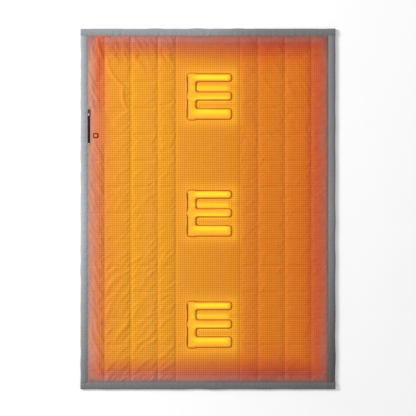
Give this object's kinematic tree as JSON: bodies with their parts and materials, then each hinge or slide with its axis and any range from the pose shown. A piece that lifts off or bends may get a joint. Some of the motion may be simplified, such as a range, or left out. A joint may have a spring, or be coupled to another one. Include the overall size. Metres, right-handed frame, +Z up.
{
  "type": "heated blanket",
  "caption": "Flat quilted heated blanket with three comb-shaped heating pads, a zipped battery pocket and a power button, folding in thirds.",
  "frame": {"origin": "middle of the blanket's underside, on the surface it lies on", "axes": "+X across the blanket to the side without the zip, +Y along it to the head edge, +Z up, out of the heated face"},
  "size_m": [1.4, 1.98, 0.0177],
  "materials": {
    "face_cloth": "matte",
    "binding_cloth": "matte",
    "back_fleece": "matte",
    "batting_fibre": "matte",
    "spreader_mesh": "matte",
    "pad_cover": "matte",
    "pad_film": "satin",
    "carbon_fibre": "satin",
    "wire_jacket": "satin",
    "zip_tape": "matte",
    "zip_metal": "satin",
    "pull_rubber": "matte",
    "button_shell": "satin",
    "button_light": "gloss",
    "circuit_board": "satin",
    "switch_body": "satin",
    "bag_cloth": "matte",
    "battery_shell": "satin",
    "cell_foil": "satin"
  },
  "bodies": {
    "middle": {"back_panel_middle": "back_fleece", "batting_middle": "batting_fibre", "heat_spreader_middle": "spreader_mesh", "face_left_middle": "face_cloth", "face_centre_middle": "face_cloth", "face_right_middle": "face_cloth", "binding_left_middle": "binding_cloth", "binding_right_middle": "binding_cloth", "pad_carrier_middle": "pad_film", "heating_element_middle": "carbon_fibre", "pad_cover_middle": "pad_cover", "flat_lead_middle": "wire_jacket"},
    "head": {"back_panel_head": "back_fleece", "batting_head": "batting_fibre", "heat_spreader_head": "spreader_mesh", "face_left_head": "face_cloth", "face_centre_head": "face_cloth", "face_right_head": "face_cloth", "binding_left_head": "binding_cloth", "binding_right_head": "binding_cloth", "pad_carrier_head": "pad_film", "heating_element_head": "carbon_fibre", "pad_cover_head": "pad_cover", "flat_lead_head": "wire_jacket", "binding_head": "binding_cloth", "zip_tape_outer": "zip_tape", "zip_tape_inner": "zip_tape", "zip_teeth_outer": "zip_tape", "zip_teeth_inner": "zip_tape", "zip_bottom_stop": "zip_metal", "zip_top_stop": "zip_metal", "button_bezel": "button_shell", "button_light_ring": "button_light", "button_back_plate": "button_shell", "button_circuit_board": "circuit_board", "button_switch": "switch_body", "pocket_bag": "bag_cloth", "battery_case_lower": "battery_shell", "battery_case_upper": "battery_shell", "battery_cell": "cell_foil", "battery_circuit_board": "circuit_board", "battery_socket": "zip_metal"},
    "foot": {"back_panel_foot": "back_fleece", "batting_foot": "batting_fibre", "heat_spreader_foot": "spreader_mesh", "face_left_foot": "face_cloth", "face_centre_foot": "face_cloth", "face_right_foot": "face_cloth", "binding_left_foot": "binding_cloth", "binding_right_foot": "binding_cloth", "pad_carrier_foot": "pad_film", "heating_element_foot": "carbon_fibre", "pad_cover_foot": "pad_cover", "flat_lead_foot": "wire_jacket", "binding_foot": "binding_cloth"},
    "zip_slider": {"zip_slider": "zip_metal"},
    "pull_tab": {"zip_pull_tab": "pull_rubber"},
    "power_button": {"button_cap": "button_shell"}
  },
  "joints": [
    {"name": "foot_fold", "type": "hinge", "parent": "middle", "child": "foot", "pos_m": [0, -0.338, 0.0178], "axis": [-1, 0, 0], "range_deg": [0, 179.8]},
    {"name": "head_fold", "type": "hinge", "parent": "middle", "child": "head", "pos_m": [0, 0.338, 0.0284], "axis": [1, 0, 0], "range_deg": [0, 179.8]},
    {"name": "zip_slide", "type": "slide", "parent": "head", "child": "zip_slider", "axis": [0, -1, 0], "range_m": [0, 0.15]},
    {"name": "pull_tab_turn", "type": "hinge", "parent": "zip_slider", "child": "pull_tab", "pos_m": [-0.6525, 0.517, 0.0155], "axis": [1, 0, 0], "range_deg": [0, 180]},
    {"name": "power_press", "type": "slide", "parent": "head", "child": "power_button", "axis": [0, 0, -1], "range_m": [0, 0.001], "stiffness_N_per_m": 300, "springref_m": -0.002}
  ]
}
